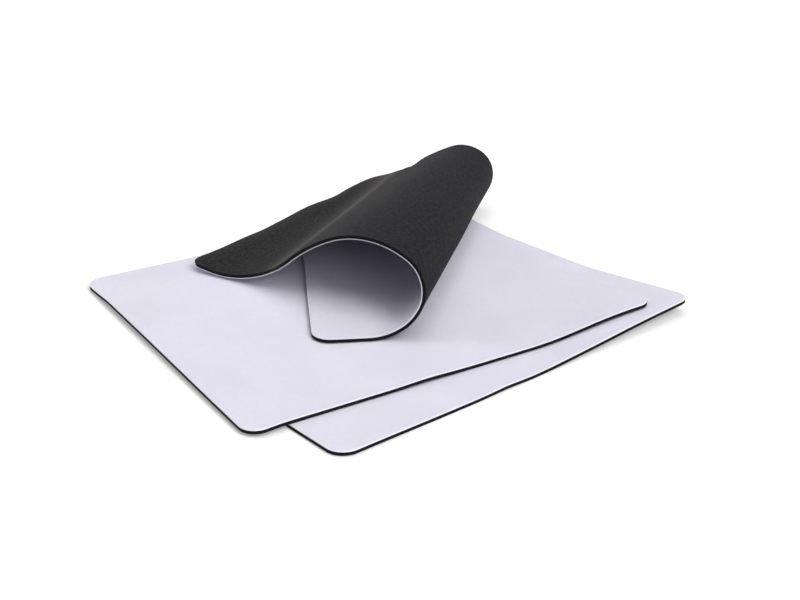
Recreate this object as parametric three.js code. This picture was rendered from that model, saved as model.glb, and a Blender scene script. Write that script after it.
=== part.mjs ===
import * as THREE from 'three';
import { mergeVertices } from 'three/addons/utils/BufferGeometryUtils.js';

// Three alike mouse pads: two lie flat on one another and the third lies half rolled up on top.
// Millimetres, Z up from the desk. Y runs along the direction in which the pads have been rolled.

// One pad, laid flat: cloth bonded to rubber
const PAD_LENGTH = 210;
const PAD_WIDTH = 180;
const CORNER_RADIUS = 8.5;
const RUBBER_THICKNESS = 1.4;
const BOND_THICKNESS = 0.1;
const CLOTH_THICKNESS = 0.5;

// Where the pads lie, with turns in degrees from X to a pad's long side
const STACK_CLEARANCE = 0.3;
const LOWER_TURN = 56.8;
const UPPER_TURN = 49.3;
const UPPER_SHIFT_X = -20.2;
const UPPER_SHIFT_Y = 4.7;
const ROLLED_TURN = 23.7;
const ROLLED_CORNER_X = -22.7;
const ROLLED_CORNER_Y = -54.8;

// The two flat pads turn up together at their right end
const UPTURN_START = 70;
const UPTURN_RADIUS = 135;
const UPTURN_ANGLE = 5.7;

// The rolled pad stays flat from its left edge to its first fold line and then bends in turn.
// Widths are measured along its front edge and its back edge. A radius is that at the front edge, and a
// negative one bends towards the rubber. The flap's bend runs on past the pad's end.
const FLAT_PART = { front: 24.2, back: 100.5 };
const RISE = { front: 26, back: 13.6, radius: 21.4 };
const TIGHT_TURN = { front: 22.8, back: 20.5, radius: 14.1 };
const CROWN = { front: 42.2, back: 18.1, radius: 46.6 };
const FALL = { front: 28, back: 33.2 };
const RUN_OUT = { front: 55.9, back: 9.5, radius: -68.2 };
const FLAP = { front: 210, back: 53.7, radius: 37.7 };

// The fall bends just as far as lets the flap come down to this distance from what lies below it
const FLAP_CLEARANCE = 0.3;

// The rolled pad's flat part droops where it hangs past the upper pad's back edge
const DROOP_RADIUS = 150;

// Fineness of the facets, in degrees of turn
const CORNER_STEP = 10;
const BEND_STEP = 3;

const PAD_THICKNESS = RUBBER_THICKNESS + BOND_THICKNESS + CLOTH_THICKNESS;
const STACK_PITCH = PAD_THICKNESS + STACK_CLEARANCE;

const LAYERS = [
  {
    name: 'rubber_base',
    from: 0,
    to: RUBBER_THICKNESS,
    look: { color: 0x343436, roughness: 0.9, metalness: 0 },
  },
  {
    name: 'bond_film',
    from: RUBBER_THICKNESS,
    to: RUBBER_THICKNESS + BOND_THICKNESS,
    look: { color: 0x3a3a3c, roughness: 0.5, metalness: 0 },
  },
  {
    name: 'cloth_face',
    from: RUBBER_THICKNESS + BOND_THICKNESS,
    to: PAD_THICKNESS,
    look: { color: 0xe5e3f0, roughness: 0.95, metalness: 0 },
  },
];

// A pad's place in the desk's plane: takes a point given along and across the pad, from its middle, into that
// plane and back
function seatAt(middle, turnDegrees) {
  const turn = THREE.MathUtils.degToRad(turnDegrees);
  const centre = new THREE.Vector2();
  return {
    toPlan: (along, across) => new THREE.Vector2(along, across).rotateAround(centre, turn).add(middle),
    toPad: (point) => point.clone().sub(middle).rotateAround(centre, -turn),
  };
}

// A pad's place given by its front left corner
function seatAtCorner(corner, turnDegrees) {
  const toMiddle = seatAt(new THREE.Vector2(), turnDegrees).toPlan(PAD_LENGTH / 2, PAD_WIDTH / 2);
  return seatAt(corner.clone().add(toMiddle), turnDegrees);
}

// The pad's rounded outline in the desk's plane, anticlockwise.
// A corner's wall is true where the edge from it to the next corner is an outer edge of the pad.
function padOutline(seat) {
  const inX = PAD_LENGTH / 2 - CORNER_RADIUS;
  const inY = PAD_WIDTH / 2 - CORNER_RADIUS;
  const steps = Math.ceil(90 / CORNER_STEP);
  const arcCentres = [[inX, inY], [-inX, inY], [-inX, -inY], [inX, -inY]];
  return arcCentres.flatMap(([x, y], i) => {
    const start = (i * Math.PI) / 2;
    const arc = new THREE.EllipseCurve(x, y, CORNER_RADIUS, CORNER_RADIUS, start, start + Math.PI / 2);
    return arc.getPoints(steps).map((point) => ({ point: seat.toPlan(point.x, point.y), wall: true }));
  });
}

// Leaves out each corner that lies where the next one does
function withoutTwins(outline) {
  const least = 1e-6;
  return outline.filter((corner, i) => {
    const next = outline[(i + 1) % outline.length];
    return corner.point.distanceTo(next.point) > least;
  });
}

// The two parts of a convex outline before and after a line that runs from front to back
function cutOutline(outline, line) {
  const run = line.back.clone().sub(line.front);
  const sides = outline.map((corner) => corner.point.clone().sub(line.front).cross(run));
  const before = [];
  const after = [];
  outline.forEach((corner, i) => {
    const j = (i + 1) % outline.length;
    const isBefore = sides[i] < 0;
    (isBefore ? before : after).push(corner);
    if (isBefore !== sides[j] < 0) {
      const point = corner.point.clone().lerp(outline[j].point, sides[i] / (sides[i] - sides[j]));
      before.push({ point, wall: !isBefore && corner.wall });
      after.push({ point, wall: isBefore && corner.wall });
    }
  });
  return [withoutTwins(before), withoutTwins(after)];
}

// The lines along which a bent sheet is faceted: each fold line, and lines between it and the next
function facetLines(folds) {
  const lines = [];
  for (let i = 0; i + 1 < folds.length; i++) {
    const width = folds[i].front.distanceTo(folds[i + 1].front);
    const turn = THREE.MathUtils.radToDeg(width / Math.abs(folds[i].radius));
    const steps = Math.max(1, Math.ceil(turn / BEND_STEP));
    for (let step = 0; step < steps; step++) {
      lines.push({
        front: folds[i].front.clone().lerp(folds[i + 1].front, step / steps),
        back: folds[i].back.clone().lerp(folds[i + 1].back, step / steps),
      });
    }
  }
  return lines;
}

// The outline cut into strips along each chain's lines: a chain cuts what the chains before it have left flat
function cutStrips(outline, chains) {
  const strips = [];
  let flat = outline;
  for (const folds of chains) {
    let rest = flat;
    facetLines(folds).forEach((line, i) => {
      const [before, after] = cutOutline(rest, line);
      if (i === 0) {
        flat = before;
      } else {
        strips.push(before);
      }
      rest = after;
    });
    strips.push(rest);
  }
  strips.push(flat);
  return strips.filter((strip) => strip.length > 2);
}

// One bend: between two fold lines the sheet follows a cone, whose tip is where the lines meet.
// start holds a point of the first line in space, the direction along that line to the front, and the normal.
function coneBend(line, next, start) {
  const leastTaper = 1e-4;
  const toFront = line.front.clone().sub(line.back);
  const frontWidth = line.front.distanceTo(next.front);
  const narrowing = frontWidth - line.back.distanceTo(next.back);
  const taper = Math.abs(narrowing) > leastTaper ? narrowing : leastTaper;
  const reach = (toFront.length() * frontWidth) / taper;
  toFront.normalize();
  const tip = line.front.clone().addScaledVector(toFront, -reach);
  const tipInSpace = start.point.clone().addScaledVector(start.along, -reach);
  const axis = start.normal.clone().addScaledVector(start.along, reach / line.radius);
  const rate = axis.length();
  axis.normalize();
  return (point) => {
    const ray = point.clone().sub(tip);
    const length = Math.sign(reach) * ray.length();
    ray.divideScalar(length);
    const turn = new THREE.Quaternion().setFromAxisAngle(axis, rate * Math.asin(toFront.cross(ray)));
    const along = start.along.clone().applyQuaternion(turn);
    const normal = start.normal.clone().applyQuaternion(turn);
    return { point: tipInSpace.clone().addScaledVector(along, length), along, normal };
  };
}

// The bends of a chain of fold lines in a sheet at a level, each with the line that it starts at
function chainBends(folds, level) {
  const toFront = folds[0].front.clone().sub(folds[0].back).normalize();
  let start = {
    point: new THREE.Vector3(folds[0].front.x, folds[0].front.y, level),
    along: new THREE.Vector3(toFront.x, toFront.y, 0),
    normal: new THREE.Vector3(0, 0, 1),
  };
  return folds.slice(0, -1).map((line, i) => {
    const place = coneBend(line, folds[i + 1], start);
    start = place(folds[i + 1].front);
    return { line, place };
  });
}

// Whether a point lies past a line, to the right as seen from its front end
function isPast(point, line) {
  const run = line.back.clone().sub(line.front);
  return point.clone().sub(line.front).cross(run) > 0;
}

// A flat sheet at a level, bent past each chain's first line and again at each of its other lines.
// Takes a point of the flat sheet, and a height above that point, into space.
function bendSheet(chains, level) {
  const bends = chains.flatMap((folds) => chainBends(folds, level));
  return (point, height) => {
    const bend = bends.findLast(({ line }) => isPast(point, line));
    if (!bend) {
      return new THREE.Vector3(point.x, point.y, level + height);
    }
    const spot = bend.place(point);
    return spot.point.addScaledVector(spot.normal, height);
  };
}

// The solid between two heights of a bent sheet, from the strips of its outline
function slabGeometry(strips, sheet, from, to) {
  const positions = [];
  const addFace = (...corners) => corners.forEach((corner) => positions.push(...corner));
  for (const strip of strips) {
    const low = strip.map((corner) => sheet(corner.point, from));
    const high = strip.map((corner) => sheet(corner.point, to));
    for (let i = 1; i + 1 < strip.length; i++) {
      addFace(high[0], high[i], high[i + 1]);
      addFace(low[0], low[i + 1], low[i]);
    }
    strip.forEach((corner, i) => {
      const j = (i + 1) % strip.length;
      if (corner.wall) {
        addFace(low[i], low[j], high[j]);
        addFace(low[i], high[j], high[i]);
      }
    });
  }
  const geometry = new THREE.BufferGeometry();
  geometry.setAttribute('position', new THREE.Float32BufferAttribute(positions, 3));
  return mergeVertices(geometry);
}

// A pad as its bonded layers; underside is the height of its rubber above the bent sheet's own surface
function makePad(name, seat, chains, level, underside) {
  const pad = new THREE.Group();
  pad.name = name;
  const strips = cutStrips(padOutline(seat), chains);
  const sheet = bendSheet(chains, level);
  for (const layer of LAYERS) {
    const geometry = slabGeometry(strips, sheet, underside + layer.from, underside + layer.to);
    geometry.computeVertexNormals();
    const mesh = new THREE.Mesh(geometry, new THREE.MeshStandardMaterial(layer.look));
    mesh.name = `${name}_${layer.name}`;
    pad.add(mesh);
  }
  return pad;
}

const lowerSeat = seatAt(new THREE.Vector2(), LOWER_TURN);
const upperSeat = seatAt(new THREE.Vector2(UPPER_SHIFT_X, UPPER_SHIFT_Y), UPPER_TURN);
const rolledSeat = seatAtCorner(new THREE.Vector2(ROLLED_CORNER_X, ROLLED_CORNER_Y), ROLLED_TURN);

// The cloth hardly stretches, so the rolled pad is bent along its cloth's surface, at this height where flat
const rolledLevel = 2 * STACK_PITCH + PAD_THICKNESS;

// The fold lines of the flat pads' shared upturn: parallel, across the whole stack
function upturnFolds() {
  const reach = Math.hypot(PAD_LENGTH, PAD_WIDTH);
  const end = UPTURN_START + UPTURN_RADIUS * THREE.MathUtils.degToRad(UPTURN_ANGLE);
  const lineAt = (x, radius) => ({
    front: new THREE.Vector2(x, -reach),
    back: new THREE.Vector2(x, reach),
    radius,
  });
  return [lineAt(UPTURN_START, UPTURN_RADIUS), lineAt(end, Infinity), lineAt(end + reach, Infinity)];
}

// The rolled pad's fold lines: one where each bend starts, and one past the flap
function rollFolds(fallRadius) {
  const folds = [];
  let front = FLAT_PART.front - PAD_LENGTH / 2;
  let back = FLAT_PART.back - PAD_LENGTH / 2;
  const addFold = (radius) => {
    folds.push({
      front: rolledSeat.toPlan(front, -PAD_WIDTH / 2),
      back: rolledSeat.toPlan(back, PAD_WIDTH / 2),
      radius,
    });
  };
  for (const bend of [RISE, TIGHT_TURN, CROWN, { ...FALL, radius: fallRadius }, RUN_OUT, FLAP]) {
    addFold(bend.radius);
    front += bend.front;
    back += bend.back;
  }
  addFold(Infinity);
  return folds;
}

// The droop starts at the upper pad's back edge or, if that is farther out, where the roll starts.
// It is measured across the upper pad from its middle.
const rollStart = rolledSeat.toPlan(FLAT_PART.back - PAD_LENGTH / 2, PAD_WIDTH / 2);
const droopStart = Math.max(PAD_WIDTH / 2, upperSeat.toPad(rollStart).y);

// The fold lines of the rolled pad's droop, along the upper pad's back edge
function droopFolds() {
  const lineAt = (across, radius) => ({
    front: upperSeat.toPlan(PAD_LENGTH, across),
    back: upperSeat.toPlan(-PAD_LENGTH, across),
    radius,
  });
  return [lineAt(droopStart, -DROOP_RADIUS), lineAt(droopStart + PAD_WIDTH, Infinity)];
}

// The height of what lies below the flap at a point of the desk's plane: the rolled pad's own flat part, with
// its droop, or else the upper pad, the lower pad or the desk
function heightBelow(point) {
  const isOn = (seat) => {
    const spot = seat.toPad(point);
    return Math.abs(spot.x) < PAD_LENGTH / 2 && Math.abs(spot.y) < PAD_WIDTH / 2;
  };
  if (isOn(rolledSeat)) {
    const past = Math.max(0, upperSeat.toPad(point).y - droopStart);
    return rolledLevel - DROOP_RADIUS + Math.sqrt(DROOP_RADIUS ** 2 - past ** 2);
  }
  if (isOn(upperSeat)) {
    return STACK_PITCH + PAD_THICKNESS;
  }
  return isOn(lowerSeat) ? PAD_THICKNESS : 0;
}

// How far the rolled pad, from where its fall starts, stays above what lies below it
function flapGap(fallRadius) {
  const samples = 48;
  const sheet = bendSheet([rollFolds(fallRadius)], rolledLevel);
  const rolledUp = [FLAT_PART, RISE, TIGHT_TURN, CROWN].reduce((sum, bend) => sum + bend.front, 0);
  let least = Infinity;
  for (let i = 0; i <= samples; i++) {
    for (let j = 0; j <= samples; j++) {
      const along = THREE.MathUtils.lerp(rolledUp, PAD_LENGTH, i / samples) - PAD_LENGTH / 2;
      const across = PAD_WIDTH * (j / samples - 0.5);
      const spot = sheet(rolledSeat.toPlan(along, across), 0);
      least = Math.min(least, spot.z - heightBelow(new THREE.Vector2(spot.x, spot.y)));
    }
  }
  return least;
}

// The fall's radius at which the flap just keeps its clearance: its curvature is found by halving the range
// between bends as tight as the tight turn, one way and the other
function settledFallRadius() {
  const halvings = 40;
  let high = -1 / TIGHT_TURN.radius;
  let low = 1 / TIGHT_TURN.radius;
  for (let i = 0; i < halvings; i++) {
    const middle = (high + low) / 2;
    if (flapGap(1 / middle) > FLAP_CLEARANCE) {
      high = middle;
    } else {
      low = middle;
    }
  }
  return 1 / high;
}

const upturn = [upturnFolds()];
const roll = [droopFolds(), rollFolds(settledFallRadius())];

const pads = new THREE.Group();
pads.add(makePad('lower_pad', lowerSeat, upturn, 0, 0));
pads.add(makePad('upper_pad', upperSeat, upturn, 0, STACK_PITCH));
pads.add(makePad('rolled_pad', rolledSeat, roll, rolledLevel, -PAD_THICKNESS));

export default pads;
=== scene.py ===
import math

import bpy
import numpy as np
from mathutils import Matrix, Vector


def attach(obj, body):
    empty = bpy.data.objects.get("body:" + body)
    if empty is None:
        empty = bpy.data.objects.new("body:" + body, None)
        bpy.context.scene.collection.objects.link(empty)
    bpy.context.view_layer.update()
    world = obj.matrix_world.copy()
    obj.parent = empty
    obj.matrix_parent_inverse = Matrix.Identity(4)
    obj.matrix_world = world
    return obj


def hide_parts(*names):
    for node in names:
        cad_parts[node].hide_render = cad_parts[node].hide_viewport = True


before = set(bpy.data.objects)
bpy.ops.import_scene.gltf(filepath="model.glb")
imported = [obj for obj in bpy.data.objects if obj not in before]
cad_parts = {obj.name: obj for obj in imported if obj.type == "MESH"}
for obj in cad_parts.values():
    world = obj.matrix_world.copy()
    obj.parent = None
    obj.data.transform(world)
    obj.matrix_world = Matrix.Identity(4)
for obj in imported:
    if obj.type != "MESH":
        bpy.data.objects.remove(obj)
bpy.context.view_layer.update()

# Three alike mouse pads, cloth bonded to rubber: two lie flat on one another and the third lies half
# rolled up on top. Metres, Z up from the desk, Y along the roll from its open front end to its back end.

# One pad, laid flat
PAD_LENGTH = 0.210
PAD_WIDTH = 0.180
CORNER_RADIUS = 0.0085
RUBBER_TOP = 0.00140
BOND_TOP = 0.00150
CLOTH_TOP = 0.00200
CORNER_MIDDLE = np.array([PAD_LENGTH / 2 - CORNER_RADIUS, PAD_WIDTH / 2 - CORNER_RADIUS])

# Where the pads lie
STACK_PITCH = 0.0023
LOWER_TURN = 56.8
UPPER_TURN = 49.3
UPPER_MIDDLE = (-0.0202, 0.0047)
ROLLED_TURN = 23.7
ROLLED_CORNER = (-0.0227, -0.0548)

# The two flat pads turn up together at their right end
UPTURN_START = 0.070
UPTURN_RADIUS = 0.135
UPTURN_ANGLE = math.radians(5.7)

# The rolled pad's flat part and then its bends in turn: width at the pad's front edge, width at its back
# edge, radius at its front edge
FLAT_PART = (0.0242, 0.1005)
ROLL = [
    (0.0260, 0.0136, 0.0214),  # rise
    (0.0228, 0.0205, 0.0141),  # tight turn
    (0.0422, 0.0181, 0.0466),  # crown
    (0.0280, 0.0332, 0.095465),  # fall
    (0.0559, 0.0095, -0.0682),  # run-out
    (0.2100, 0.0537, 0.0377),  # flap
]
# Its back part droops where it hangs past the upper pad
DROOP_RADIUS = 0.150

# Soft bumps and dents of the limp sheets: height, middle along and across the pad, spread along and
# across
LOWER_BUMPS = [
    (0.0007, 0.062, -0.074, 0.026, 0.013),
    (0.0004, -0.093, -0.090, 0.030, 0.030),
    (0.0005, -0.017, -0.090, 0.010, 0.020),
    (0.0004, 0.075, -0.090, 0.030, 0.030),
]
UPPER_BUMPS = [
    (0.00138, 0.082, -0.090, 0.026, 0.060),
    (0.00050, -0.022, -0.090, 0.012, 0.025),
]
# The rolled pad's free end is wavy: height of each wave and its place across the pad, and their spread
END_WAVES = [
    (0.0011, -0.084), (-0.0002, -0.048), (-0.0011, -0.028), (-0.0007, -0.008),
    (-0.0013, 0.036), (0.0007, 0.058), (0.0028, 0.076), (-0.0007, 0.090),
]
END_WAVE_SPREAD = (0.012, 0.014)
ROLLED_BUMPS = [(height, PAD_LENGTH / 2, across, *END_WAVE_SPREAD) for height, across in END_WAVES]
ROLLED_BUMPS += [
    (-0.0033, 0.100, 0.088, 0.018, 0.026),
    (0.0024, 0.086, 0.090, 0.006, 0.020),
    (0.0006, 0.073, 0.090, 0.009, 0.022),
    (-0.0003, 0.035, 0.070, 0.022, 0.030),
    (-0.0005, 0.035, 0.100, 0.022, 0.030),
    (-0.0002, 0.045, -0.090, 0.016, 0.020),
    (-0.0003, 0.085, -0.092, 0.020, 0.010),
    (-0.0008, -0.105, 0.090, 0.022, 0.022),
    (0.0002, -0.100, -0.090, 0.015, 0.015),
]
# Pushes in the desk's plane, written as the bumps are. The lower pad's left corner goes in under the upper
# pad, along the upper pad, and the rolled pad is pushed along itself.
LOWER_PUSHES = [
    (0.0035, -0.105, 0.090, 0.040, 0.060),
]
ROLLED_PUSHES = [
    (0.0006, -0.033, -0.060, 0.020, 0.035),  # tight turn, from front to back
    (0.0005, -0.015, -0.010, 0.020, 0.035),
    (-0.0004, 0.002, 0.040, 0.020, 0.035),
    (-0.0003, 0.019, 0.090, 0.020, 0.035),
    (-0.0004, -0.105, -0.090, 0.030, 0.030),  # flat end
    (0.0010, -0.105, 0.000, 0.030, 0.030),
    (0.0009, -0.061, -0.090, 0.014, 0.025),  # mouth of the roll
    (-0.0005, -0.036, -0.092, 0.014, 0.014),
    (-0.0006, 0.105, -0.088, 0.012, 0.016),  # the flap's front corner
]
# The upper pad sags where it hangs past the lower one: how far, and within what distance
SAG, SAG_REACH = 0.0013, 0.014

# The rolled pad is creased along a line: its place along the pad at the front edge and the back edge.
# A pad without a crease counts as far from one.
CREASE = (0.0501, 0.0937)
NO_CREASE = 1.0
# Distances from the crease, above zero short of it, over which the colours change: from the flap to the
# painted shade inside the roll, from there to the flat part, to the rubber's painted bluish shade, and
# from a creased pad to one without
FLAP_TO_INSIDE = (-0.03, 0.02)
INSIDE_TO_FLAT = (0.055, 0.100)
TO_PAINTED_BLUISH_SHADE = (0.01, 0.06)
TO_UNCREASED = (0.3, 0.9)
# How far the painted highlight along the crease reaches, and its brightest middle
HIGHLIGHT_REACH = 0.013
HIGHLIGHT_CORE_REACH = 0.0035
# Distances in from the outline over which the cloth's frayed edge and the rubber's cut wall end
FRAY_END = (0.0001, 0.0005)
WALL_END = (0.0002, 0.0004)

# The meshes: how far the rim reaches in from the outline, the steps round a corner, the grid's spacing on
# the flat pads and on the rolled one, and the angle from which an edge is sharp
RIM_INSET = 0.0006
CORNER_STEPS = 10
FLAT_STEP = 0.004
ROLL_STEP = 0.002
SHARP_ANGLE = math.radians(50)
# Fold lines nearer to parallel than this count as meeting far off
LEAST_TAPER = 1e-7

# Spacing of the knit's columns and rows, and of the rubber's emboss
WALE = 0.00050
COURSE = 0.00042
EMBOSS = 0.00066

# Wide soft lamps: bearing from X and height above the desk in degrees, and strength. The first is the
# main one, from the right, then three from high up and four from lower down that soften the shadows.
LAMPS = [
    (337.5, 45, 1.84),
    (72, 70, 0.615),
    (144, 70, 0.29),
    (288, 70, 0.33),
    (315, 22, 0.81),
    (180, 22, 0.62),
    (112.5, 45, 0.21),
    (202.5, 45, 0.135),
]
LAMP_SPREAD = math.radians(35)
ROOM_LIGHT = 0.02

# A wide pale floor, just under the pads, with the little glow that makes it white to the camera
FLOOR_HALF = 8.0
FLOOR_STEPS = 8
FLOOR_DROP = 0.00005
FLOOR_GREY = 0.88
FLOOR_GLOW = 0.22

# The photograph's viewpoint, for an image 800 wide: place, heading from X, angle of looking down
CAMERA_AT = (0.1524, -0.5129, 0.2418)
CAMERA_HEADING = math.radians(106.5)
CAMERA_DOWN = 0.416
FOCAL_PIXELS = 1243.24
IMAGE_PIXELS = 800
SENSOR_MM = 36.0
CAMERA_RANGE = (0.01, 50.0)


# The bent sheets


def unit(v):
    return v / np.linalg.norm(v)


def cross2(a, b):
    return a[..., 0] * b[..., 1] - a[..., 1] * b[..., 0]


def turned(v, axis, angle):
    """The vector v turned about a unit axis, once for each angle."""
    c, s = np.cos(angle)[:, None], np.sin(angle)[:, None]
    return v * c + np.cross(axis, v) * s + axis * (axis @ v) * (1 - c)


def seat_at(middle, degrees):
    """Takes points given along and across a pad, from its middle, into the desk's plane."""
    c, s = math.cos(math.radians(degrees)), math.sin(math.radians(degrees))
    turn = np.array([[c, s], [-s, c]])
    return lambda spots: np.asarray(spots, float) @ turn + np.asarray(middle, float)


def cone_bend(line, following, start):
    """Between two fold lines the sheet follows a cone, whose tip is where the lines meet."""
    front, back, radius = line
    point, along, normal = start
    to_front = front - back
    front_width = np.linalg.norm(front - following[0])
    narrowing = front_width - np.linalg.norm(back - following[1])
    taper = narrowing if abs(narrowing) > LEAST_TAPER else LEAST_TAPER
    reach = np.linalg.norm(to_front) * front_width / taper
    to_front = unit(to_front)
    tip = front - to_front * reach
    tip_in_space = point - along * reach
    axis = normal + along * (reach / radius)
    rate = np.linalg.norm(axis)
    axis = axis / rate

    def place(points):
        ray = points - tip
        length = np.sign(reach) * np.linalg.norm(ray, axis=1)
        angle = rate * np.arcsin(cross2(to_front, ray / length[:, None]))
        ways = turned(along, axis, angle)
        return tip_in_space + ways * length[:, None], ways, turned(normal, axis, angle)

    return place


def bent_sheet(chains, level):
    """Takes points of the flat sheet to places in space and the sheet's normals there."""
    bends = []
    for folds in chains:
        to_front = unit(folds[0][0] - folds[0][1])
        start = (np.append(folds[0][0], level), np.append(to_front, 0.0), np.array([0.0, 0.0, 1.0]))
        for line, following in zip(folds, folds[1:]):
            place = cone_bend(line, following, start)
            bends.append((line, place))
            start = tuple(x[0] for x in place(following[0][None, :]))

    def sheet(points):
        places = np.column_stack([points, np.full(len(points), level)])
        normals = np.tile([0.0, 0.0, 1.0], (len(points), 1))
        for (front, back, _), place in bends:
            past = cross2(points - front, back - front) > 0
            if past.any():
                places[past], _, normals[past] = place(points[past])
        return places, normals

    return sheet


def upturn_folds():
    """Fold lines across X, between which both flat pads turn up."""
    reach = math.hypot(PAD_LENGTH, PAD_WIDTH)
    end = UPTURN_START + UPTURN_RADIUS * UPTURN_ANGLE
    lines = [(UPTURN_START, UPTURN_RADIUS), (end, math.inf), (end + reach, math.inf)]
    return [(np.array([x, -reach]), np.array([x, reach]), radius) for x, radius in lines]


def roll_folds(seat):
    """Fold lines from the rolled pad's front edge to its back edge, with the bend that follows each."""
    front, back = FLAT_PART[0] - PAD_LENGTH / 2, FLAT_PART[1] - PAD_LENGTH / 2
    folds = []
    for front_width, back_width, radius in [*ROLL, (0, 0, math.inf)]:
        folds.append((seat((front, -PAD_WIDTH / 2)), seat((back, PAD_WIDTH / 2)), radius))
        front, back = front + front_width, back + back_width
    return folds


def droop_folds(rolled_seat, upper_seat):
    """Fold lines along the upper pad, past which the rolled pad's back part hangs."""
    roll_start = rolled_seat((FLAT_PART[1] - PAD_LENGTH / 2, PAD_WIDTH / 2))
    across = unit(upper_seat((0, 1)) - upper_seat((0, 0)))
    begin = max(PAD_WIDTH / 2, float((roll_start - upper_seat((0, 0))) @ across))
    lines = [(begin, -DROOP_RADIUS), (begin + PAD_WIDTH, math.inf)]
    return [(upper_seat((PAD_LENGTH, y)), upper_seat((-PAD_LENGTH, y)), radius) for y, radius in lines]


def bumps_at(spots, bumps):
    """The sum of the bumps at points along and across a pad."""
    along, across = spots.T
    heights = np.zeros(len(spots))
    for height, at_along, at_across, long, wide in bumps:
        nearness = -(((along - at_along) / long) ** 2) - ((across - at_across) / wide) ** 2
        heights += height * np.exp(nearness)
    return heights


def moved(heights, pushes, degrees):
    """Moves up, and along a direction in the desk's plane."""
    turn = math.radians(degrees)
    return np.column_stack([pushes * math.cos(turn), pushes * math.sin(turn), heights])


def lower_settling(spots):
    return moved(bumps_at(spots, LOWER_BUMPS), bumps_at(spots, LOWER_PUSHES), UPPER_TURN)


def upper_settling(spots):
    """The upper pad's bumps, and its sag outside the lower pad's outline."""
    c, s = math.cos(math.radians(LOWER_TURN)), math.sin(math.radians(LOWER_TURN))
    on_lower = np.abs(upper_seat(spots) @ np.array([[c, -s], [s, c]]))
    outside = np.linalg.norm(np.maximum(on_lower - CORNER_MIDDLE, 0), axis=1) - CORNER_RADIUS
    sag = SAG * (1 - np.exp(-((np.maximum(outside, 0) / SAG_REACH) ** 2)))
    return moved(bumps_at(spots, UPPER_BUMPS) - sag, np.zeros(len(spots)), UPPER_TURN)


def rolled_settling(spots):
    return moved(bumps_at(spots, ROLLED_BUMPS), bumps_at(spots, ROLLED_PUSHES), ROLLED_TURN)


def no_crease(spots):
    return np.full(len(spots), NO_CREASE)


def crease_distance(spots):
    """How far points of the rolled pad lie, while flat, from its crease: above zero short of it."""
    front, back = np.array([CREASE[0], -PAD_WIDTH / 2]), np.array([CREASE[1], PAD_WIDTH / 2])
    return cross2(unit(back - front), spots - front)


# The layers of a pad


def pad_grid(step):
    """Points along and across a pad on a grid that fills its rounded outline drawn in by the rim."""
    half_length, half_width = PAD_LENGTH / 2 - RIM_INSET, PAD_WIDTH / 2 - RIM_INSET
    radius = CORNER_RADIUS - RIM_INSET
    turns = np.linspace(math.pi / 2, 0, CORNER_STEPS + 1)
    low = -(half_width - radius) - radius * np.sin(turns)
    ends = half_length - radius + radius * np.cos(turns)
    count = round(2 * (half_width - radius) / step)
    middle = np.linspace(low[-1], -low[-1], count + 1)[1:-1]
    across = np.concatenate([low, middle, -low[::-1]])
    reach = np.concatenate([ends, np.full(count - 1, half_length), ends[::-1]])
    along = np.linspace(-1, 1, round(2 * half_length / step) + 1)
    rows = np.broadcast_to(across[:, None], (len(across), len(along)))
    return np.stack([reach[:, None] * along, rows], 2)


def rim_of(grid):
    """The grid's border, anticlockwise, as (row, column) pairs, and the outward direction at each."""
    rows, columns = grid.shape[:2]
    border = [(0, c) for c in range(columns)]
    border += [(r, columns - 1) for r in range(1, rows)]
    border += [(rows - 1, c) for c in range(columns - 2, -1, -1)]
    border += [(r, 0) for r in range(rows - 2, 0, -1)]
    points = np.array([grid[r, c] for r, c in border])
    outward = np.sign(points) * np.maximum(np.abs(points) - CORNER_MIDDLE, 0)
    outward[[i for i, (r, _) in enumerate(border) if r in (0, rows - 1)], 0] = 0
    return border, outward / np.linalg.norm(outward, axis=1)[:, None]


def layer_points(grid, border, outward, bottom, top, rim):
    """Points of a layer's upper face, of its lower face and of a ring for each step of its edge: their
    places along and across the pad, their heights in it and how far in from the outline they lie."""
    edge = np.array([grid[r, c] for r, c in border])
    flat = grid.reshape(-1, 2)
    count, ring = len(flat), len(border)
    spots = [flat, flat]
    heights = [np.full(count, top), np.full(count, bottom)]
    insets = [np.full(count, RIM_INSET), np.full(count, RIM_INSET)]
    for inset, height in rim:
        spots.append(edge + outward * (RIM_INSET - inset))
        heights.append(np.full(ring, height))
        insets.append(np.full(ring, inset))
    return np.concatenate(spots), np.concatenate(heights), np.concatenate(insets)


def layer_faces(grid, border, ring_count):
    """The faces between a layer's points, in the same order."""
    rows, columns = grid.shape[:2]
    count, ring = rows * columns, len(border)
    quads = []
    for r in range(rows - 1):
        for c in range(columns - 1):
            a = r * columns + c
            quads.append((a, a + 1, a + columns + 1, a + columns))
            quads.append((count + a, count + a + columns, count + a + columns + 1, count + a + 1))
    rings = [[r * columns + c for r, c in border]]
    rings += [list(range(2 * count + k * ring, 2 * count + (k + 1) * ring)) for k in range(ring_count)]
    rings.append([count + r * columns + c for r, c in border])
    for upper, lower in zip(rings, rings[1:]):
        for i in range(ring):
            j = (i + 1) % ring
            quads.append((lower[i], lower[j], upper[j], upper[i]))
    return quads


def add_attribute(mesh, name, kind, field, values):
    made = mesh.attributes.new(name, kind, "POINT")
    made.data.foreach_set(field, values.astype(np.float32).ravel())


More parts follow.
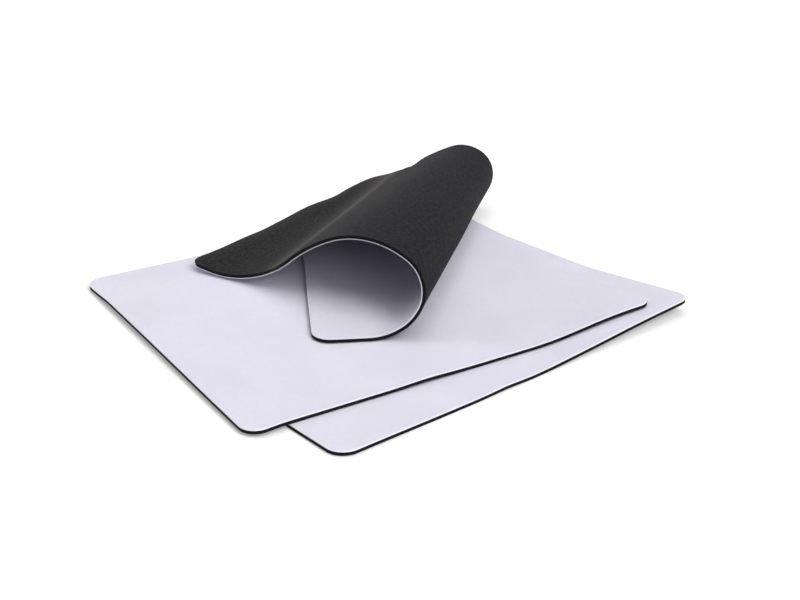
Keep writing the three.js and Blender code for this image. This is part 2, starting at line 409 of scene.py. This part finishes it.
def make_layer(name, seat, sheet, underside, step, settling, crease, bottom, top, rim):
    """One closed layer between two heights of a pad. rim lists the (inset, height) steps of its edge
    from its upper face to its lower one."""
    grid = pad_grid(step)
    border, outward = rim_of(grid)
    spots, heights, insets = layer_points(grid, border, outward, bottom, top, rim)
    places, normals = sheet(seat(spots))
    places = places + normals * (underside + heights)[:, None]
    places += settling(spots)

    mesh = bpy.data.meshes.new(name)
    mesh.from_pydata(places.tolist(), [], layer_faces(grid, border, len(rim)))
    mesh.shade_smooth()
    mesh.set_sharp_from_angle(angle=SHARP_ANGLE)
    add_attribute(mesh, "flat", "FLOAT_VECTOR", "vector", np.column_stack([spots, heights]))
    add_attribute(mesh, "inset", "FLOAT", "value", insets)
    add_attribute(mesh, "crease", "FLOAT", "value", crease(spots))
    uv = mesh.uv_layers.new(name="flat_uv")
    corners = np.zeros(len(mesh.loops), np.int32)
    mesh.loops.foreach_get("vertex_index", corners)
    uv.data.foreach_set("uv", (spots[corners] / PAD_LENGTH + 0.5).astype(np.float32).ravel())
    piece = bpy.data.objects.new(name, mesh)
    bpy.context.scene.collection.objects.link(piece)
    return piece


# Materials


def add(tree, kind, inputs=None, **settings):
    """A node with its settings, and with its inputs set or linked."""
    made = tree.nodes.new(kind)
    for key, value in settings.items():
        setattr(made, key, value)
    for key, value in (inputs or {}).items():
        if isinstance(value, bpy.types.NodeSocket):
            tree.links.new(value, made.inputs[key])
        else:
            made.inputs[key].default_value = value
    return made


def math_of(tree, operation, *values):
    return add(tree, "ShaderNodeMath", dict(enumerate(values)), operation=operation).outputs[0]


def attribute_of(tree, name, output="Fac"):
    return add(tree, "ShaderNodeAttribute", attribute_name=name).outputs[output]


def wave_of(tree, value, spacing):
    return math_of(tree, "SINE", math_of(tree, "MULTIPLY", value, 2 * math.pi / spacing))


def noise_of(tree, vector, scale, detail, roughness):
    inputs = {"Vector": vector, "Scale": scale, "Detail": detail, "Roughness": roughness}
    return add(tree, "ShaderNodeTexNoise", inputs).outputs["Fac"]


def ramp_of(tree, value, low, high, from_value, to_value):
    """value brought from low..high to from_value..to_value."""
    inputs = {"Value": value, "From Min": low, "From Max": high}
    inputs |= {"To Min": from_value, "To Max": to_value}
    return add(tree, "ShaderNodeMapRange", inputs).outputs["Result"]


def mix_of(tree, factor, first, second, blend="MIX"):
    made = add(tree, "ShaderNodeMix", data_type="RGBA", blend_type=blend)
    for socket, value in ((made.inputs[0], factor), (made.inputs[6], first), (made.inputs[7], second)):
        if isinstance(value, bpy.types.NodeSocket):
            tree.links.new(value, socket)
        else:
            socket.default_value = value
    return made.outputs[2]


def material(name):
    made = bpy.data.materials.new(name)
    made.use_nodes = True
    tree = made.node_tree
    return made, tree, tree.nodes["Principled BSDF"]


def linear(*srgb):
    """A colour given in 8-bit sRGB, as the shaders take it."""
    parts = [v / 255 for v in srgb]
    return (*[v / 12.92 if v <= 0.04045 else ((v + 0.055) / 1.055) ** 2.4 for v in parts], 1.0)


def cloth_material():
    made, tree, shader = material("knitted_cloth")
    flat, inset = attribute_of(tree, "flat", "Vector"), attribute_of(tree, "inset")
    crease = attribute_of(tree, "crease")
    split = add(tree, "ShaderNodeSeparateXYZ", {"Vector": flat})
    along, across = split.outputs["X"], split.outputs["Y"]

    # the knit: columns of small V-shaped stitches
    zigzag = math_of(tree, "PINGPONG", along, COURSE / 2)
    wale = wave_of(tree, math_of(tree, "ADD", across, zigzag), WALE)
    course = wave_of(tree, along, COURSE)
    knit = math_of(tree, "MULTIPLY_ADD", course, 0.35, wale)
    fuzz = noise_of(tree, flat, 4200.0, 3.0, 0.65)
    height = math_of(tree, "MULTIPLY_ADD", fuzz, 1.6, knit)

    # colour: broad faint unevenness of the dye, and painted shade in the hollows between the stitches
    broad = noise_of(tree, flat, 26.0, 3.0, 0.55)
    small = noise_of(tree, flat, 420.0, 2.0, 0.6)
    dye = ramp_of(tree, broad, 0.35, 0.65, 0.0, 1.0)
    base = mix_of(tree, dye, linear(224, 222, 235), linear(230, 228, 241))
    base = mix_of(tree, ramp_of(tree, small, 0.3, 0.7, 0.0, 0.35), base, linear(218, 216, 231))
    base = mix_of(tree, ramp_of(tree, knit, -1.3, 1.3, 0.22, 0.0), base, linear(196, 194, 212))
    # the cut edge is frayed and shows the white yarn
    edge = ramp_of(tree, inset, *FRAY_END, 0.8, 0.0)
    base = mix_of(tree, edge, base, linear(240, 239, 244))
    # the rolled pad's cloth is a little greyer all over, and inside the roll it is darkened further with
    # painted shade
    past_flat = ramp_of(tree, crease, *INSIDE_TO_FLAT, 0.65, 0.0)
    short_of_flap = ramp_of(tree, crease, *FLAP_TO_INSIDE, 0.0, 1.0)
    painted_shade_inside = math_of(tree, "MULTIPLY", past_flat, short_of_flap)
    greyer_and_painted_shade = math_of(tree, "ADD", ramp_of(tree, crease, *TO_UNCREASED, 0.2, 0.0), painted_shade_inside)
    base = mix_of(tree, greyer_and_painted_shade, base, linear(180, 180, 184))
    tree.links.new(base, shader.inputs["Base Color"])
    tree.links.new(ramp_of(tree, fuzz, 0.3, 0.7, 0.82, 0.96), shader.inputs["Roughness"])
    bump = add(tree, "ShaderNodeBump", {"Height": height, "Strength": 0.35, "Distance": 0.00005})
    tree.links.new(bump.outputs["Normal"], shader.inputs["Normal"])
    shader.inputs["Specular IOR Level"].default_value = 0.25
    shader.inputs["Sheen Weight"].default_value = 0.12
    shader.inputs["Sheen Roughness"].default_value = 0.45
    return made


def rubber_material():
    made, tree, shader = material("foamed_rubber")
    flat, inset = attribute_of(tree, "flat", "Vector"), attribute_of(tree, "inset")
    crease = attribute_of(tree, "crease")
    split = add(tree, "ShaderNodeSeparateXYZ", {"Vector": flat})
    along, across = split.outputs["X"], split.outputs["Y"]

    # the underside's moulded emboss: a fine grid like a woven cloth's
    grid = math_of(tree, "MULTIPLY", wave_of(tree, along, EMBOSS), wave_of(tree, across, EMBOSS))
    grain = noise_of(tree, flat, 2600.0, 3.0, 0.6)
    cells = add(tree, "ShaderNodeTexVoronoi", {"Vector": flat, "Scale": 3600.0}).outputs["Distance"]
    wall = ramp_of(tree, inset, *WALL_END, 1.0, 0.0)
    face = math_of(tree, "MULTIPLY_ADD", grain, 1.3, grid)
    height = mix_of(tree, wall, face, math_of(tree, "MULTIPLY", cells, 2.5))

    # colour: broad unevenness, a fine mottle, painted shade in the emboss's hollows, and pale specks
    broad = noise_of(tree, flat, 34.0, 4.0, 0.6)
    speck = noise_of(tree, flat, 900.0, 2.0, 0.7)
    mottle = noise_of(tree, flat, 560.0, 3.0, 0.7)
    uneven = ramp_of(tree, broad, 0.3, 0.7, 0.0, 1.0)
    base = mix_of(tree, uneven, linear(35, 35, 36), linear(41, 41, 41))
    base = mix_of(tree, ramp_of(tree, mottle, 0.35, 0.5, 0.75, 0.0), base, linear(19, 19, 20))
    base = mix_of(tree, ramp_of(tree, mottle, 0.5, 0.65, 0.0, 0.75), base, linear(53, 53, 53))
    base = mix_of(tree, ramp_of(tree, grid, -1.0, 1.0, 0.30, 0.0), base, linear(17, 17, 18))
    base = mix_of(tree, ramp_of(tree, speck, 0.62, 0.8, 0.0, 0.35), base, linear(56, 55, 55))
    # painted shade: the sheet is a little darker and bluer short of the crease
    painted_bluish_shade = mix_of(tree, 1.0, base, (0.83, 0.82, 0.96, 1.0), "MULTIPLY")
    base = mix_of(tree, ramp_of(tree, crease, *TO_PAINTED_BLUISH_SHADE, 0.0, 1.0), base, painted_bluish_shade)
    # painted highlight: a pale streak along the crease, brightest in its middle
    away = math_of(tree, "ABSOLUTE", crease)
    painted_highlight_halo = math_of(tree, "POWER", ramp_of(tree, away, 0.0, HIGHLIGHT_REACH, 0.75, 0.0), 1.5)
    painted_crease_highlight = math_of(tree, "ADD", painted_highlight_halo, ramp_of(tree, away, 0.0, HIGHLIGHT_CORE_REACH, 0.35, 0.0))
    painted_crease_highlight = math_of(tree, "MULTIPLY", painted_crease_highlight, ramp_of(tree, broad, 0.3, 0.7, 0.75, 1.0))
    base = mix_of(tree, painted_crease_highlight, base, linear(88, 85, 85))
    # painted shade: the cut wall is drawn darker and a little bluer
    base = mix_of(tree, math_of(tree, "MULTIPLY", wall, 0.6), base, linear(18, 18, 23))
    tree.links.new(base, shader.inputs["Base Color"])
    tree.links.new(ramp_of(tree, grain, 0.3, 0.7, 0.55, 0.75), shader.inputs["Roughness"])
    bump = add(tree, "ShaderNodeBump", {"Height": height, "Strength": 0.4, "Distance": 0.00008})
    tree.links.new(bump.outputs["Normal"], shader.inputs["Normal"])
    shader.inputs["Specular IOR Level"].default_value = 0.03
    return made


def bond_material():
    made, tree, shader = material("adhesive_film")
    flat = attribute_of(tree, "flat", "Vector")
    broad = noise_of(tree, flat, 90.0, 3.0, 0.6)
    fine = noise_of(tree, flat, 2400.0, 2.0, 0.6)
    base = mix_of(tree, broad, linear(52, 52, 55), linear(66, 66, 68))
    base = mix_of(tree, ramp_of(tree, fine, 0.4, 0.7, 0.0, 0.5), base, linear(92, 91, 94))
    tree.links.new(base, shader.inputs["Base Color"])
    tree.links.new(ramp_of(tree, broad, 0.3, 0.7, 0.4, 0.6), shader.inputs["Roughness"])
    bump = add(tree, "ShaderNodeBump", {"Height": fine, "Strength": 0.3, "Distance": 0.00004})
    tree.links.new(bump.outputs["Normal"], shader.inputs["Normal"])
    return made


# The pads

CLOTH, RUBBER, BOND = cloth_material(), rubber_material(), bond_material()

# The layers' cut edges in millimetres, from top to bottom: how far in from the outline, and height
MM = 0.001
RUBBER_RIM = [(x * MM, z * MM) for x, z in [
    (0.30, 1.40), (0.03, 1.40), (0.0, 1.31), (0.04, 1.05),
    (0.06, 0.70), (0.05, 0.35), (0.0, 0.12), (0.10, 0.0),
]]
BOND_RIM = [(x * MM, z * MM) for x, z in [(0.30, 1.5), (0.03, 1.5), (0.03, 1.4), (0.30, 1.4)]]
CLOTH_RIM = [(x * MM, z * MM) for x, z in [
    (0.42, 2.0), (0.26, 1.985), (0.12, 1.94), (0.03, 1.85),
    (0.0, 1.73), (0.0, 1.56), (0.04, 1.5), (0.30, 1.5),
]]


def make_pad(body, seat, chains, level, underside, step, settling, crease):
    """The three layers of a pad. level is the height of the bent sheet, underside that of the rubber's
    lower face above it."""
    sheet = bent_sheet(chains, level)
    place = (seat, sheet, underside, step, settling, crease)
    rubber = make_layer(f"{body}_rubber", *place, 0.0, RUBBER_TOP, RUBBER_RIM)
    bond = make_layer(f"{body}_bond", *place, RUBBER_TOP, BOND_TOP, BOND_RIM)
    cloth = make_layer(f"{body}_cloth", *place, BOND_TOP, CLOTH_TOP, CLOTH_RIM)
    layers = [
        (rubber, "rubber_base", "rubber", RUBBER),
        (bond, "bond_film", "bond", BOND),
        (cloth, "cloth_face", "cloth", CLOTH),
    ]
    for piece, node, slot, look in layers:
        piece.data.materials.append(look)
        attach(piece, body)
        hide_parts(f"{body}_{node}")


lower_seat = seat_at((0.0, 0.0), LOWER_TURN)
upper_seat = seat_at(UPPER_MIDDLE, UPPER_TURN)
rolled_middle = seat_at(ROLLED_CORNER, ROLLED_TURN)((PAD_LENGTH / 2, PAD_WIDTH / 2))
rolled_seat = seat_at(rolled_middle, ROLLED_TURN)
roll_chains = [droop_folds(rolled_seat, upper_seat), roll_folds(rolled_seat)]
rolled_level = 2 * STACK_PITCH + CLOTH_TOP

flat_chains = [upturn_folds()]
make_pad(
    "lower_pad", lower_seat, flat_chains, 0.0, 0.0, FLAT_STEP, lower_settling, no_crease
)
make_pad(
    "upper_pad", upper_seat, flat_chains, 0.0, STACK_PITCH, FLAT_STEP, upper_settling, no_crease
)
make_pad(
    "rolled_pad", rolled_seat, roll_chains, rolled_level, -CLOTH_TOP, ROLL_STEP,
    rolled_settling, crease_distance,
)


# Floor, light and camera


def seen_of(tree):
    """1 for rays from the camera, and for those that it follows in mirrors and through glass."""
    path = add(tree, "ShaderNodeLightPath")
    seen = math_of(tree, "MAXIMUM", path.outputs["Is Camera Ray"], path.outputs["Is Glossy Ray"])
    return math_of(tree, "MAXIMUM", seen, path.outputs["Is Transmission Ray"])


def make_floor():
    """A wide pale floor that takes the pads' shadow."""
    line = np.linspace(-FLOOR_HALF, FLOOR_HALF, FLOOR_STEPS + 1)
    corners = [(x, y, 0.0) for y in line for x in line]
    faces = []
    for r in range(FLOOR_STEPS):
        for c in range(FLOOR_STEPS):
            a = r * (FLOOR_STEPS + 1) + c
            faces.append((a, a + 1, a + FLOOR_STEPS + 2, a + FLOOR_STEPS + 1))
    mesh = bpy.data.meshes.new("floor")
    mesh.from_pydata(corners, [], faces)
    floor = bpy.data.objects.new("floor", mesh)
    bpy.context.scene.collection.objects.link(floor)
    floor.location.z = -FLOOR_DROP
    made, tree, shader = material("white_floor")
    shader.inputs["Base Color"].default_value = (FLOOR_GREY, FLOOR_GREY, FLOOR_GREY, 1.0)
    shader.inputs["Roughness"].default_value = 1.0
    shader.inputs["Specular IOR Level"].default_value = 0.0
    shader.inputs["Emission Color"].default_value = (1.0, 1.0, 1.0, 1.0)
    glow = math_of(tree, "MULTIPLY", seen_of(tree), FLOOR_GLOW)
    tree.links.new(glow, shader.inputs["Emission Strength"])
    mesh.materials.append(made)


def make_light():
    world = bpy.data.worlds.new("studio")
    bpy.context.scene.world = world
    world.use_nodes = True
    tree = world.node_tree
    tree.nodes.clear()
    room = add(tree, "ShaderNodeBackground", {"Color": (0.97, 0.98, 1.0, 1.0), "Strength": ROOM_LIGHT})
    white = add(tree, "ShaderNodeBackground", {"Color": (1.0, 1.0, 1.0, 1.0), "Strength": 1.0})
    both = add(tree, "ShaderNodeMixShader", {0: seen_of(tree), 1: room.outputs[0], 2: white.outputs[0]})
    add(tree, "ShaderNodeOutputWorld", {"Surface": both.outputs[0]})
    for i, (azimuth, elevation, energy) in enumerate(LAMPS):
        lamp = bpy.data.lights.new(f"softbox_{i}", "SUN")
        lamp.angle = LAMP_SPREAD
        lamp.energy = energy
        box = bpy.data.objects.new(f"softbox_{i}", lamp)
        bpy.context.scene.collection.objects.link(box)
        a, e = math.radians(azimuth), math.radians(elevation)
        away = Vector((-math.cos(a) * math.cos(e), -math.sin(a) * math.cos(e), -math.sin(e)))
        box.rotation_euler = away.to_track_quat("-Z", "Y").to_euler()


def make_camera():
    data = bpy.data.cameras.new("camera")
    data.sensor_width = SENSOR_MM
    data.lens = FOCAL_PIXELS / IMAGE_PIXELS * SENSOR_MM
    data.clip_start, data.clip_end = CAMERA_RANGE
    camera = bpy.data.objects.new("camera", data)
    bpy.context.scene.collection.objects.link(camera)
    level = Vector((math.cos(CAMERA_HEADING), math.sin(CAMERA_HEADING), 0.0))
    ahead = level * math.cos(CAMERA_DOWN) - Vector((0.0, 0.0, math.sin(CAMERA_DOWN)))
    right = Vector((math.sin(CAMERA_HEADING), -math.cos(CAMERA_HEADING), 0.0))
    turn = Matrix((right, right.cross(ahead), -ahead)).transposed()
    camera.matrix_world = Matrix.Translation(CAMERA_AT) @ turn.to_4x4()
    bpy.context.scene.camera = camera


make_floor()
make_light()
make_camera()
bpy.context.scene.view_settings.view_transform = "Standard"
